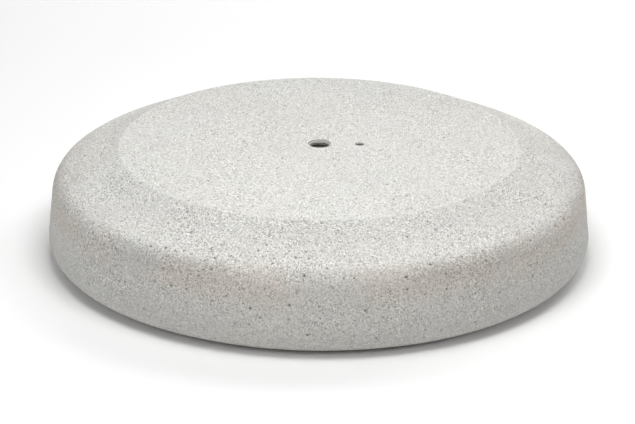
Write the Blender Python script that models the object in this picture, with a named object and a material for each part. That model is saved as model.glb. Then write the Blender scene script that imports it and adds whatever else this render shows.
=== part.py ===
"""A round concrete parasol base: the casting, its cast-in threaded socket for the pole, the steel that
anchors the socket, the sleeve of the locating hole and four screwed rubber feet.

Metres, +Z up. The origin is on the base's axis, in the plane that the feet stand on. The locating hole is
at +X.
"""

import math

import bmesh
import bpy
from mathutils import Matrix, Vector

# Driving dimensions ---------------------------------------------------------------------------------------
GAP = 0.0003  # left between pieces that touch on the real object

FOOT_STANDOFF = 0.003  # how far the feet hold the casting off the ground
BODY_HEIGHT = 0.107
FOOT_LINE_RADIUS = 0.277  # where the wall would meet the underside with no rounding
WALL_DRAFT = math.radians(6.1)
WALL_HEIGHT = 0.0774  # from the underside to where wall and shoulder would meet
PLATEAU_RADIUS = 0.2024
BASE_ROUNDING = 0.018
SHOULDER_ROUNDING = 0.0225
CREASE_ROUNDING = 0.005

THREAD_MAJOR_RADIUS = 0.010  # M20
THREAD_PITCH = 0.0025
THREAD_DEPTH = 0.5413 * THREAD_PITCH  # as every internal metric thread has
THREAD_TURNS = 17
RELIEF_POINT = 0.25  # the height of the relief cutter's point over its radius
SOCKET_RADIUS = 0.0135
SOCKET_LENGTH = 0.070
SOCKET_SETBACK = 0.0025  # from the plateau down to the socket's end face
SOCKET_THROAT_RADIUS = 0.0104  # where the concrete's hole meets the socket, clear of the pole's stud
SOCKET_MOUTH_RADIUS = 0.0116  # the same hole at the plateau

LOCATOR_OFFSET = 0.0405
LOCATOR_THROAT_RADIUS = 0.0042
LOCATOR_MOUTH_RADIUS = 0.0050
LOCATOR_BORE_RADIUS = 0.0040
LOCATOR_RADIUS = 0.0052
LOCATOR_LENGTH = 0.030
LOCATOR_SETBACK = 0.003
LOCATOR_FLOOR = 0.0015

PLATE_SIDE = 0.140
PLATE_THICKNESS = 0.006
PLATE_CORNER_RADIUS = 0.010

BAR_RADIUS = 0.004
BAR_SPREAD = 0.045  # of each bar from the axis
RING_RADIUS = 0.190
BAR_OVERHANG = 0.008  # of the upper bars past the ring

FOOT_COUNT = 4
FOOT_CIRCLE_RADIUS = 0.225
FOOT_RADIUS = 0.020
FOOT_RECESS_DEPTH = 0.005
FOOT_SIDE_GAP = 0.0005
FOOT_EDGE_ROUNDING = 0.0012
FOOT_COUNTERBORE_RADIUS = 0.0080
FOOT_COUNTERBORE_DEPTH = 0.0046
WASHER_RADIUS = 0.0070
WASHER_THICKNESS = 0.0012
SCREW_RADIUS = 0.0025
SCREW_LENGTH = 0.034
SCREW_HEAD_RADIUS = 0.0048
SCREW_HEAD_HEIGHT = 0.0023
SCREW_HEAD_ROUNDING = 0.6 * SCREW_HEAD_HEIGHT
CROSS_DEPTH = 0.65 * SCREW_HEAD_HEIGHT
CROSS_LENGTH = 1.1 * SCREW_HEAD_RADIUS
CROSS_WIDTH = 0.24 * SCREW_HEAD_RADIUS
CROSS_TAPER = 0.8  # the size of the recess's floor against its mouth
DOWEL_RADIUS = 0.0040
DOWEL_LENGTH = 0.037
DOWEL_END = 0.002

# Worked out from them -------------------------------------------------------------------------------------
UNDERSIDE_Z = FOOT_STANDOFF
PLATEAU_Z = UNDERSIDE_Z + BODY_HEIGHT
SOCKET_TOP_Z = PLATEAU_Z - SOCKET_SETBACK
SOCKET_BOTTOM_Z = SOCKET_TOP_Z - SOCKET_LENGTH
THREAD_MINOR_RADIUS = THREAD_MAJOR_RADIUS - THREAD_DEPTH
PLATE_TOP_Z = SOCKET_BOTTOM_Z - GAP
LOWER_BAR_Z = PLATE_TOP_Z + GAP + BAR_RADIUS
UPPER_BAR_Z = LOWER_BAR_Z + 2 * BAR_RADIUS + GAP
LOCATOR_TOP_Z = PLATEAU_Z - LOCATOR_SETBACK
LOCATOR_BOTTOM_Z = LOCATOR_TOP_Z - LOCATOR_LENGTH
FOOT_TOP_Z = UNDERSIDE_Z + FOOT_RECESS_DEPTH - GAP
SCREW_HOLE_RADIUS = SCREW_RADIUS + GAP
WASHER_TOP_Z = FOOT_COUNTERBORE_DEPTH - GAP
WASHER_BOTTOM_Z = WASHER_TOP_Z - WASHER_THICKNESS
SCREW_HEAD_TOP_Z = WASHER_BOTTOM_Z - GAP
DOWEL_BOTTOM_Z = UNDERSIDE_Z + FOOT_RECESS_DEPTH + GAP
ABOVE = 0.005  # how far a cutter runs out past the surface that it opens
POCKET_REACH = 8 * GAP  # how far the lower bars' pockets run on, so that they open into the ring's

# Facets round a turned piece
BODY_FACETS = 96
RING_FACETS = 64
SOCKET_FACETS = 32
LOCATOR_FACETS = 24
FOOT_FACETS = 32
WASHER_FACETS = 20
SCREW_FACETS = 16
DOWEL_FACETS = 12


# Shapes ---------------------------------------------------------------------------------------------------
def rounded(corners, steps=5):
    """An outline of (radius, height) points from corners (radius, height, rounding), with arcs at the corners
    that have a rounding."""
    points = []
    for index, (r, z, rounding) in enumerate(corners):
        corner = Vector((r, z))
        if not rounding:
            points.append(tuple(corner))
            continue
        before = (Vector(corners[index - 1][:2]) - corner).normalized()
        after = (Vector(corners[(index + 1) % len(corners)][:2]) - corner).normalized()
        half = before.angle(after) / 2
        centre = corner + (before + after).normalized() * rounding / math.sin(half)
        first = corner + before * rounding / math.tan(half) - centre
        last = corner + after * rounding / math.tan(half) - centre
        turn = first.angle_signed(last)
        for step in range(steps + 1):
            angle = turn * step / steps
            spoke = Matrix.Rotation(-angle, 2) @ first
            points.append(tuple(centre + spoke))
    return points


def finished(bm, name, finish, sharp_angle=math.radians(35)):
    """An object of the mesh, in the scene, shaded smooth up to sharp_angle."""
    bmesh.ops.recalc_face_normals(bm, faces=bm.faces)
    mesh = bpy.data.meshes.new(name)
    bm.to_mesh(mesh)
    bm.free()
    mesh.shade_smooth()
    mesh.set_sharp_from_angle(angle=sharp_angle)
    mesh.materials.append(finish)
    made = bpy.data.objects.new(name, mesh)
    bpy.context.scene.collection.objects.link(made)
    return made


def turned(outline, steps):
    """A mesh turned about Z from (radius, height) points. An outline that starts on the axis ends on it too,
    and any other is a closed loop."""
    bm = bmesh.new()
    verts = [bm.verts.new((r, 0, z)) for r, z in outline]
    pairs = list(zip(verts, verts[1:]))
    if outline[0][0] > 0:
        pairs.append((verts[-1], verts[0]))
    edges = [bm.edges.new(pair) for pair in pairs]
    bmesh.ops.spin(bm, geom=verts + edges, axis=(0, 0, 1), steps=steps, angle=math.tau)
    bmesh.ops.remove_doubles(bm, verts=bm.verts, dist=1e-6)
    bmesh.ops.dissolve_degenerate(bm, edges=bm.edges, dist=1e-6)
    return bm


def turned_with_caps(outline, steps):
    """A mesh turned about Z from an open outline, whose first and last circle are closed by flat faces."""
    bm = bmesh.new()
    verts = [bm.verts.new((r, 0, z)) for r, z in outline]
    edges = [bm.edges.new(pair) for pair in zip(verts, verts[1:])]
    bmesh.ops.spin(bm, geom=verts + edges, axis=(0, 0, 1), steps=steps, angle=math.tau)
    bmesh.ops.remove_doubles(bm, verts=bm.verts, dist=1e-6)
    bmesh.ops.holes_fill(bm, edges=bm.edges, sides=0)
    return bm


def rod(start, end, radius, sides=12):
    """A mesh of a round bar between two points."""
    start, end = Vector(start), Vector(end)
    along = end - start
    place = Matrix.Translation((start + end) / 2) @ along.to_track_quat("Z", "Y").to_matrix().to_4x4()
    bm = bmesh.new()
    bmesh.ops.create_cone(
        bm, cap_ends=True, segments=sides, radius1=radius, radius2=radius, depth=along.length, matrix=place
    )
    return bm


def plate(side, bottom, top, corner_radius):
    """A mesh of a square plate with rounded corners, centred on the axis."""
    bm = bmesh.new()
    place = Matrix.Translation((0, 0, (bottom + top) / 2)) @ Matrix.Diagonal((side, side, top - bottom, 1))
    bmesh.ops.create_cube(bm, size=1, matrix=place)
    upright = [e for e in bm.edges if abs(e.verts[0].co.z - e.verts[1].co.z) > (top - bottom) / 2]
    bmesh.ops.bevel(bm, geom=upright, offset=corner_radius, segments=4, profile=0.5, affect="EDGES")
    return bm


def thread_cutter(bottom, turns, sides=20):
    """A mesh of a screw's core and thread, rising from bottom, closed by a fan of triangles at each end."""
    crest, flank = THREAD_PITCH / 8, THREAD_PITCH * 5 / 16
    heights = (0.0, flank, flank + crest, 2 * flank + crest)
    radii = (THREAD_MINOR_RADIUS, THREAD_MAJOR_RADIUS, THREAD_MAJOR_RADIUS, THREAD_MINOR_RADIUS)
    strands = len(heights)
    bm = bmesh.new()

    def helix_point(step, strand):
        angle = math.tau * step / sides
        z = bottom + THREAD_PITCH * step / sides + heights[strand]
        return bm.verts.new((radii[strand] * math.cos(angle), radii[strand] * math.sin(angle), z))

    columns = [[helix_point(step, strand) for strand in range(strands)] for step in range(turns * sides + 1)]
    for here, there in zip(columns, columns[1:]):
        for strand in range(strands - 1):
            bm.faces.new((here[strand], there[strand], there[strand + 1], here[strand + 1]))
    # Each turn's last strand meets the first strand of the turn above it.
    for step in range(turns * sides - sides):
        here, there = columns[step], columns[step + 1]
        above, beyond = columns[step + sides], columns[step + sides + 1]
        bm.faces.new((here[-1], there[-1], beyond[0], above[0]))
    low_end = [column[0] for column in columns[: sides + 1]]
    low_end += [columns[0][strand] for strand in range(strands - 1, 0, -1)]
    high_end = [column[-1] for column in columns[-sides - 1 :]]
    high_end += [columns[-1][strand] for strand in range(strands - 2, -1, -1)]
    for ring in (low_end, high_end):
        tip = bm.verts.new((0, 0, sum(v.co.z for v in ring) / len(ring)))
        for a, b in zip(ring, ring[1:] + ring[:1]):
            bm.faces.new((a, b, tip))
    return bm


def cut(body, cutters):
    """Takes the cutters away from the body with one Boolean each, and keeps them as hidden wire shapes."""
    for cutter in cutters:
        cutter.hide_render = True
        cutter.display_type = "WIRE"
        boolean = body.modifiers.new(cutter.name, "BOOLEAN")
        boolean.operation = "DIFFERENCE"
        boolean.solver = "EXACT"
        boolean.object = cutter


def moved(bm, place):
    bmesh.ops.translate(bm, vec=place, verts=bm.verts)
    return bm


# Materials ------------------------------------------------------------------------------------------------
def finish_of(name, colour, roughness, metallic=0.0):
    material = bpy.data.materials.new(name)
    material.use_nodes = True
    shader = material.node_tree.nodes["Principled BSDF"]
    shader.inputs["Base Color"].default_value = (*colour, 1)
    shader.inputs["Roughness"].default_value = roughness
    shader.inputs["Metallic"].default_value = metallic
    return material


def make_finishes():
    return {
        "concrete": finish_of("concrete", (0.56, 0.55, 0.52), 0.9),
        "zinc": finish_of("zinc_plated_steel", (0.62, 0.63, 0.64), 0.4, 1.0),
        "rebar": finish_of("rebar_steel", (0.24, 0.19, 0.16), 0.7, 1.0),
        "rubber": finish_of("black_rubber", (0.03, 0.03, 0.032), 0.8),
        "nylon": finish_of("grey_nylon", (0.36, 0.37, 0.38), 0.5),
    }


# Pieces ---------------------------------------------------------------------------------------------------
def foot_places():
    """The feet's centres, on the diagonals, so that the front edge is clear of them."""
    quarter = math.tau / FOOT_COUNT
    angles = [quarter * (n + 0.5) for n in range(FOOT_COUNT)]
    return [Vector((math.cos(a), math.sin(a), 0)) * FOOT_CIRCLE_RADIUS for a in angles]


def body_outline():
    """From the edge of the plateau, over the shoulder and down the wall, to the edge of the underside. The
    first and last corner only say where the flat faces lie, and are left out."""
    wall_top_radius = FOOT_LINE_RADIUS - WALL_HEIGHT * math.tan(WALL_DRAFT)
    corners = [
        (0, PLATEAU_Z, 0),
        (PLATEAU_RADIUS, PLATEAU_Z, CREASE_ROUNDING),
        (wall_top_radius, UNDERSIDE_Z + WALL_HEIGHT, SHOULDER_ROUNDING),
        (FOOT_LINE_RADIUS, UNDERSIDE_Z, BASE_ROUNDING),
        (0, UNDERSIDE_Z, 0),
    ]
    return rounded(corners)[1:-1]


def bar_lines(allowance=0.0, reach=0.0):
    """Start and end of the four bars. The lower pair lies inside the ring, and the upper pair lies on both.
    For their pockets, the upper pair is longer by an allowance at each end, and the lower pair by a reach."""
    inner = RING_RADIUS - BAR_RADIUS
    lower = math.sqrt(inner**2 - (BAR_SPREAD + BAR_RADIUS) ** 2) - 2 * GAP + reach
    upper = math.sqrt(RING_RADIUS**2 - BAR_SPREAD**2) + BAR_OVERHANG + allowance
    return {
        "rebar_lower_front": ((-lower, -BAR_SPREAD, LOWER_BAR_Z), (lower, -BAR_SPREAD, LOWER_BAR_Z)),
        "rebar_lower_back": ((-lower, BAR_SPREAD, LOWER_BAR_Z), (lower, BAR_SPREAD, LOWER_BAR_Z)),
        "rebar_upper_left": ((-BAR_SPREAD, -upper, UPPER_BAR_Z), (-BAR_SPREAD, upper, UPPER_BAR_Z)),
        "rebar_upper_right": ((BAR_SPREAD, -upper, UPPER_BAR_Z), (BAR_SPREAD, upper, UPPER_BAR_Z)),
    }


def ring_mesh(allowance=0.0, sides=8):
    radius = BAR_RADIUS + allowance
    angles = [math.tau * n / sides for n in range(sides)]
    section = [(RING_RADIUS + radius * math.cos(a), LOWER_BAR_Z + radius * math.sin(a)) for a in angles]
    return turned(section, RING_FACETS)


def sleeve_hole(bottom, radius, top, throat_radius, mouth_radius):
    """The outline of the hole round a cast-in sleeve, given the sleeve: its pocket, the narrower throat above
    it and the flare from there to the mouth in the plateau."""
    pocket_top = top + GAP
    flare = (mouth_radius - throat_radius) / (PLATEAU_Z - pocket_top)
    return [
        (0, bottom - GAP),
        (radius + GAP, bottom - GAP),
        (radius + GAP, pocket_top),
        (throat_radius, pocket_top),
        (mouth_radius + flare * ABOVE, PLATEAU_Z + ABOVE),
        (0, PLATEAU_Z + ABOVE),
    ]


def make_body(finish):
    """The casting, hollow where the other pieces are cast in, and recessed where the feet are screwed on."""
    body = finished(turned_with_caps(body_outline(), BODY_FACETS), "concrete_body", finish)
    socket_hole = sleeve_hole(
        SOCKET_BOTTOM_Z, SOCKET_RADIUS, SOCKET_TOP_Z, SOCKET_THROAT_RADIUS, SOCKET_MOUTH_RADIUS
    )
    locator_hole = sleeve_hole(
        LOCATOR_BOTTOM_Z, LOCATOR_RADIUS, LOCATOR_TOP_Z, LOCATOR_THROAT_RADIUS, LOCATOR_MOUTH_RADIUS
    )
    plate_bottom = PLATE_TOP_Z - PLATE_THICKNESS
    plate_hole = plate(PLATE_SIDE + 2 * GAP, plate_bottom - GAP, PLATE_TOP_Z + GAP, PLATE_CORNER_RADIUS)
    locator_cutter = moved(turned(locator_hole, LOCATOR_FACETS), (LOCATOR_OFFSET, 0, 0))
    cutters = [
        finished(turned(socket_hole, SOCKET_FACETS), "cut_socket", finish),
        finished(locator_cutter, "cut_locator", finish),
        finished(plate_hole, "cut_plate", finish),
        finished(ring_mesh(GAP), "cut_ring", finish),
    ]
    for name, (start, end) in bar_lines(GAP, POCKET_REACH).items():
        cutters.append(finished(rod(start, end, BAR_RADIUS + GAP), "cut_" + name, finish))
    recess_top = UNDERSIDE_Z + FOOT_RECESS_DEPTH
    recess = [
        (0, UNDERSIDE_Z - ABOVE),
        (FOOT_RADIUS + FOOT_SIDE_GAP, UNDERSIDE_Z - ABOVE),
        (FOOT_RADIUS + FOOT_SIDE_GAP, recess_top),
        (DOWEL_RADIUS + GAP, recess_top),
        (DOWEL_RADIUS + GAP, DOWEL_BOTTOM_Z + DOWEL_LENGTH + GAP),
        (0, DOWEL_BOTTOM_Z + DOWEL_LENGTH + GAP),
    ]
    for number, place in enumerate(foot_places(), 1):
        cutters.append(finished(moved(turned(recess, FOOT_FACETS), place), f"cut_foot_{number}", finish))
    cut(body, cutters)
    return body


def make_socket(finish):
    """The threaded sleeve that the pole screws into: M20 at the top, and a plain relief bore below."""
    clear_radius = THREAD_MAJOR_RADIUS + GAP
    thread_bottom = SOCKET_TOP_Z - (THREAD_TURNS - 1) * THREAD_PITCH
    outline = [
        (0, SOCKET_BOTTOM_Z),
        (SOCKET_RADIUS, SOCKET_BOTTOM_Z),
        (SOCKET_RADIUS, SOCKET_TOP_Z),
        (0, SOCKET_TOP_Z),
    ]
    relief = [
        (0, SOCKET_BOTTOM_Z - ABOVE),
        (clear_radius, SOCKET_BOTTOM_Z - ABOVE),
        (clear_radius, thread_bottom + THREAD_PITCH),
        (0, thread_bottom + THREAD_PITCH + clear_radius * RELIEF_POINT),
    ]
    entry = [
        (0, SOCKET_TOP_Z - clear_radius),
        (clear_radius + ABOVE, SOCKET_TOP_Z + ABOVE),
        (0, SOCKET_TOP_Z + ABOVE),
    ]
    socket = finished(turned(outline, SOCKET_FACETS), "threaded_socket", finish)
    cutters = [
        finished(thread_cutter(thread_bottom - THREAD_PITCH / 2, THREAD_TURNS), "cut_thread", finish),
        finished(turned(relief, SOCKET_FACETS), "cut_thread_relief", finish),
        finished(turned(entry, SOCKET_FACETS), "cut_thread_entry", finish),
    ]
    cut(socket, cutters)
    return socket


def make_locating_sleeve(finish):
    """The plastic cup that lines the hole for the pole's anti-turn pin."""
    outline = [
        (0, LOCATOR_BOTTOM_Z),
        (LOCATOR_RADIUS, LOCATOR_BOTTOM_Z),
        (LOCATOR_RADIUS, LOCATOR_TOP_Z),
        (LOCATOR_BORE_RADIUS, LOCATOR_TOP_Z),
        (LOCATOR_BORE_RADIUS, LOCATOR_BOTTOM_Z + LOCATOR_FLOOR),
        (0, LOCATOR_BOTTOM_Z + LOCATOR_FLOOR),
    ]
    cup = moved(turned(outline, LOCATOR_FACETS), (LOCATOR_OFFSET, 0, 0))
    return finished(cup, "locating_sleeve", finish)


def make_cage(plate_finish, bar_finish):
    """The steel in the concrete: the plate under the socket, and the ring and bars that hold it down."""
    bottom = PLATE_TOP_Z - PLATE_THICKNESS
    finished(plate(PLATE_SIDE, bottom, PLATE_TOP_Z, PLATE_CORNER_RADIUS), "anchor_plate", plate_finish)
    finished(ring_mesh(), "rebar_ring", bar_finish)
    for name, (start, end) in bar_lines().items():
        finished(rod(start, end, BAR_RADIUS), name, bar_finish)


def foot_outline():
    """A rubber disc with a hole for the screw, and a counterbore for its washer and head."""
    return rounded(
        [
            (FOOT_COUNTERBORE_RADIUS, 0, 0),
            (FOOT_RADIUS - FOOT_EDGE_ROUNDING, 0, FOOT_EDGE_ROUNDING),
            (FOOT_RADIUS, FOOT_TOP_Z, 0),
            (SCREW_HOLE_RADIUS, FOOT_TOP_Z, 0),
            (SCREW_HOLE_RADIUS, FOOT_COUNTERBORE_DEPTH, 0),
            (FOOT_COUNTERBORE_RADIUS, FOOT_COUNTERBORE_DEPTH, 0),
        ],
        steps=2,
    )


def washer_outline():
    return [
        (SCREW_HOLE_RADIUS, WASHER_BOTTOM_Z),
        (WASHER_RADIUS, WASHER_BOTTOM_Z),
        (WASHER_RADIUS, WASHER_TOP_Z),
        (SCREW_HOLE_RADIUS, WASHER_TOP_Z),
    ]


def screw_outline():
    """A pan head, a plain shank and a point. The head is below and the point above."""
    bottom = SCREW_HEAD_TOP_Z - SCREW_HEAD_HEIGHT
    tip = SCREW_HEAD_TOP_Z + SCREW_LENGTH
    return rounded(
        [
            (0, bottom, 0),
            (SCREW_HEAD_RADIUS, bottom, SCREW_HEAD_ROUNDING),
            (SCREW_HEAD_RADIUS, SCREW_HEAD_TOP_Z, 0),
            (SCREW_RADIUS, SCREW_HEAD_TOP_Z, 0),
            (SCREW_RADIUS, tip - 2 * SCREW_RADIUS, 0),
            (0, tip, 0),
        ],
        steps=3,
    )


def cross_slot(place):
    """A cutter for the screw's cross recess: two crossing bars, each tapered a little towards its floor."""
    bottom = SCREW_HEAD_TOP_Z - SCREW_HEAD_HEIGHT
    arm, half = CROSS_LENGTH / 2, CROSS_WIDTH / 2
    quarter = [(arm, -half), (arm, half), (half, half)]
    loop = []
    for turn in range(4):
        c, s = round(math.cos(turn * math.pi / 2)), round(math.sin(turn * math.pi / 2))
        loop += [(x * c - y * s, x * s + y * c) for x, y in quarter]
    bm = bmesh.new()
    low = [bm.verts.new((x, y, bottom - GAP)) for x, y in loop]
    high = [bm.verts.new((x * CROSS_TAPER, y * CROSS_TAPER, bottom + CROSS_DEPTH)) for x, y in loop]
    bm.faces.new(low)
    bm.faces.new(high)
    for n in range(len(loop)):
        after = (n + 1) % len(loop)
        bm.faces.new((low[n], low[after], high[after], high[n]))
    return moved(bm, place)


def dowel_outline():
    """A nylon plug, closed at its inner end."""
    top = DOWEL_BOTTOM_Z + DOWEL_LENGTH
    return [
        (0, top),
        (DOWEL_RADIUS, top),
        (DOWEL_RADIUS, DOWEL_BOTTOM_Z),
        (SCREW_HOLE_RADIUS, DOWEL_BOTTOM_Z),
        (SCREW_HOLE_RADIUS, top - DOWEL_END),
        (0, top - DOWEL_END),
    ]


def make_feet(finishes):
    for number, place in enumerate(foot_places(), 1):
        pad = moved(turned(foot_outline(), FOOT_FACETS), place)
        finished(pad, f"foot_pad_{number}", finishes["rubber"])
        washer = moved(turned(washer_outline(), WASHER_FACETS), place)
        finished(washer, f"foot_washer_{number}", finishes["zinc"])
        dowel = moved(turned(dowel_outline(), DOWEL_FACETS), place)
        finished(dowel, f"foot_dowel_{number}", finishes["nylon"])
        turned_screw = moved(turned(screw_outline(), SCREW_FACETS), place)
        screw = finished(turned_screw, f"foot_screw_{number}", finishes["zinc"])
        cut(screw, [finished(cross_slot(place), f"cut_screw_{number}", finishes["zinc"])])


def main():
    for existing in list(bpy.data.objects):
        bpy.data.objects.remove(existing)
    finishes = make_finishes()
    make_body(finishes["concrete"])
    make_socket(finishes["zinc"])
    make_locating_sleeve(finishes["nylon"])
    make_cage(finishes["zinc"], finishes["rebar"])
    make_feet(finishes)


main()
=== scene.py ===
"""The looks of a round concrete parasol base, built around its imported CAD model.

Metres, +Z up. The axis of the casting is Z, the ground is z = 0, and the locating hole is at +X.
"""

import math
import random
from typing import NamedTuple

import bmesh
import bpy
from mathutils import Euler, Matrix, Vector, noise


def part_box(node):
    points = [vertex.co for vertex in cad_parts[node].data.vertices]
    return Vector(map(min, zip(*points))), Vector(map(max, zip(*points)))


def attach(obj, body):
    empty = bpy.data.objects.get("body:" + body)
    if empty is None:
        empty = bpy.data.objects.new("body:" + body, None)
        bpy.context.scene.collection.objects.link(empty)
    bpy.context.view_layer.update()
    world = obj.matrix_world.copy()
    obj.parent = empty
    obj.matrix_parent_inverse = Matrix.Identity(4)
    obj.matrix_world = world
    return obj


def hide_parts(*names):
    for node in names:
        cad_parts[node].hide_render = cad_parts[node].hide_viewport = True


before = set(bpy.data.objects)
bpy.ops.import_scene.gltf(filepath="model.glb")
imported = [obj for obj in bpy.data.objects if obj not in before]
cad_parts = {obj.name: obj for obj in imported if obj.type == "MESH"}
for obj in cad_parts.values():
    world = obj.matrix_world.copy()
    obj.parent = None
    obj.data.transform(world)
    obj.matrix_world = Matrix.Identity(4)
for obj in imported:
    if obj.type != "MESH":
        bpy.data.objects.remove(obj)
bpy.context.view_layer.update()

# The casting's outline, as in the CAD ---------------------------------------------------------------------
body_low, body_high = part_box("concrete_body")
UNDERSIDE_Z = body_low.z
PLATEAU_Z = body_high.z
OUTER_RADIUS = body_high.x
FOOT_LINE_RADIUS = 0.277
WALL_DRAFT = math.radians(6.1)
WALL_HEIGHT = 0.0774
PLATEAU_RADIUS = 0.2024
CREASE_ROUNDING = 0.003
SHOULDER_ROUNDING = 0.0225
BASE_ROUNDING = 0.018

# Its skin
SKIN_STEP = 0.0028  # between the skin's rings on the top, the shoulder and the wall
UNDERSIDE_STEP = 0.005
SKIN_SEGMENTS = 512
FEWEST_SEGMENTS = 16
HALVING_RADIUS = 0.52 * OUTER_RADIUS  # a ring inside it has half the segments, and so on inwards
SKIN_DEPTH = 0.00025  # how far the rough skin lies under the outline, on average
SKIN_WAVES = (  # waves per metre, height and shift of each layer, from the mould's to the sand's
    (14, 0.00030, (0, 0, 0)),
    (55, 0.00013, (7, 3, 1)),
    (420, 0.00011, (2, 9, 5)),
)
UNDERSIDE_ROUGHNESS = 1.8  # times as rough as the rest

# Its air holes
OUTSIDE_PITS = 1150
BIGGEST_OUTSIDE_PIT = 0.0015
UNDERSIDE_PITS = 90
BIGGEST_UNDERSIDE_PIT = 0.0018
# How much the air holes' floors and bottoms are darkened by soiling and painted shade
PIT_FLOOR_DIRT_AND_SHADE = 0.4
PIT_BOTTOM_DIRT_AND_SHADE = 0.6
CREASE_CLEARANCE = 0.002  # from an air hole's middle to the edge of the plateau
SOCKET_CLEARANCE = 0.03
LOCATOR_CLEARANCE = 0.012
FOOT_CLEARANCE = 0.028
UNDERSIDE_INNER_LIMIT = 0.012
UNDERSIDE_OUTER_LIMIT = 0.25

# Gaps between the casting and what is cast into it
CAST_GAP = 0.0003
RECESS_GAP = 0.0005

# The two holes in the top, and the cup in the smaller one
SOCKET_THROAT_RADIUS = 0.0104
SOCKET_MOUTH_RADIUS = 0.0116
LOCATOR_OFFSET = 0.0405
LOCATOR_THROAT_RADIUS = 0.0042
LOCATOR_MOUTH_RADIUS = 0.0050
LOCATOR_BORE_RADIUS = 0.0040
LOCATOR_FLOOR = 0.0015

# The pole's thread, M20 by 2.5
THREAD_MAJOR_RADIUS = 0.010
THREAD_PITCH = 0.0025
THREAD_MINOR_RADIUS = THREAD_MAJOR_RADIUS - 0.5413 * THREAD_PITCH  # as every internal metric thread has
THREAD_LENGTH = 16.5 * THREAD_PITCH
THREAD_CLEARANCE = 0.0003
THREAD_FLANK = 0.3125  # of the pitch
THREAD_GROOVE = 0.75  # of the pitch, both flanks and the flat between them
ROWS_PER_TURN = 14
ROWS_BELOW = 9  # that take the thread into the plain bore

# The socket's outside and the cup's
SOCKET_GROOVES = 4
GROOVE_DEPTH = 0.0014
KNURL_DEPTH = 0.0006
CUP_RIDGES = 10
RIDGE_SPACING = 0.0028

# The steel in the concrete
STRAIGHT_BARS = ("rebar_lower_front", "rebar_lower_back", "rebar_upper_left", "rebar_upper_right")
CAST_IN = ("anchor_plate", "rebar_ring") + STRAIGHT_BARS
BAR_RADIUS = 0.004
RIB_SPACING = 0.0048
RIB_HEIGHT = 0.0004

# The feet
FEET = (1, 2, 3, 4)
TREAD_RADII = (0.0108, 0.0135, 0.0162)
TREAD_DEPTH = 0.0008
COUNTERBORE_RADIUS = 0.0080
COUNTERBORE_DEPTH = 0.0046
SCREW_RADIUS = 0.0025
SCREW_HOLE_RADIUS = 0.0028
SCREW_PITCH = 0.0018
SCREW_HEAD_HEIGHT = 0.0023
DOWEL_BARBS = 9
DOWEL_END = 0.002

# The room
FLOOR_RADIUS = 6
LAMP_TARGET = Vector((0, 0, 0.06))

# The camera
CAMERA_TARGET = Vector((0, 0, 0.0446))
CAMERA_DISTANCE = 2.411
CAMERA_ELEVATION = 22.17  # this and the three turns are in degrees
CAMERA_LENS = 133.85  # mm
CAMERA_DIP = 0.216
CAMERA_YAW = 0.038
CAMERA_ROLL = 0.41


# Turned shapes --------------------------------------------------------------------------------------------
def rounded(corners, step):
    """Points (radius, height) along an outline of corners (radius, height, rounding). Each rounding is made
    an arc and each straight stretch is divided, with points about a step apart."""
    outline = []
    for index, (r, z, rounding) in enumerate(corners):
        corner = Vector((r, z))
        if not rounding:
            outline.append([corner])
            continue
        before = (Vector(corners[index - 1][:2]) - corner).normalized()
        after = (Vector(corners[index + 1][:2]) - corner).normalized()
        half = before.angle(after) / 2
        centre = corner + (before + after).normalized() * rounding / math.sin(half)
        first = corner + before * rounding / math.tan(half) - centre
        last = corner + after * rounding / math.tan(half) - centre
        turn = first.angle_signed(last)
        steps = max(3, round(abs(turn) * rounding / step))
        outline.append([centre + Matrix.Rotation(-turn * k / steps, 2) @ first for k in range(steps + 1)])
    points = list(outline[0])
    for stretch in outline[1:]:
        start, end = points[-1], stretch[0]
        pieces = max(1, round((end - start).length / step))
        points += [start.lerp(end, k / pieces) for k in range(1, pieces)]
        points += stretch
    return points


def bridge(bm, lower, upper):
    """Faces between two closed rings of vertices, of which one may have twice as many as the other."""
    if len(lower) == len(upper):
        for k in range(len(lower)):
            after = (k + 1) % len(lower)
            bm.faces.new((lower[k], lower[after], upper[after], upper[k]))
        return
    fine, coarse = (lower, upper) if len(lower) > len(upper) else (upper, lower)
    for k in range(len(coarse)):
        after = (k + 1) % len(coarse)
        left, middle, right = fine[2 * k], fine[2 * k + 1], fine[2 * after]
        bm.faces.new((left, middle, coarse[k]))
        bm.faces.new((middle, coarse[after], coarse[k]))
        bm.faces.new((middle, right, coarse[after]))


def ring_of(bm, radius, z, count):
    """A level ring of vertices round the Z axis."""
    angles = [math.tau * k / count for k in range(count)]
    return [bm.verts.new((radius * math.cos(angle), radius * math.sin(angle), z)) for angle in angles]


def segments_at(radius):
    """How many segments a ring of the skin has: fewer towards the axis, halved each time."""
    count = SKIN_SEGMENTS
    while count > FEWEST_SEGMENTS and radius < HALVING_RADIUS * count / SKIN_SEGMENTS:
        count //= 2
    return count


def object_of(bm, name, smooth_angle=math.radians(40)):
    """An object of the mesh, in the scene, shaded smooth up to smooth_angle."""
    bmesh.ops.recalc_face_normals(bm, faces=bm.faces)
    mesh = bpy.data.meshes.new(name)
    bm.to_mesh(mesh)
    bm.free()
    mesh.shade_smooth()
    mesh.set_sharp_from_angle(angle=smooth_angle)
    made = bpy.data.objects.new(name, mesh)
    bpy.context.scene.collection.objects.link(made)
    return made


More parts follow.
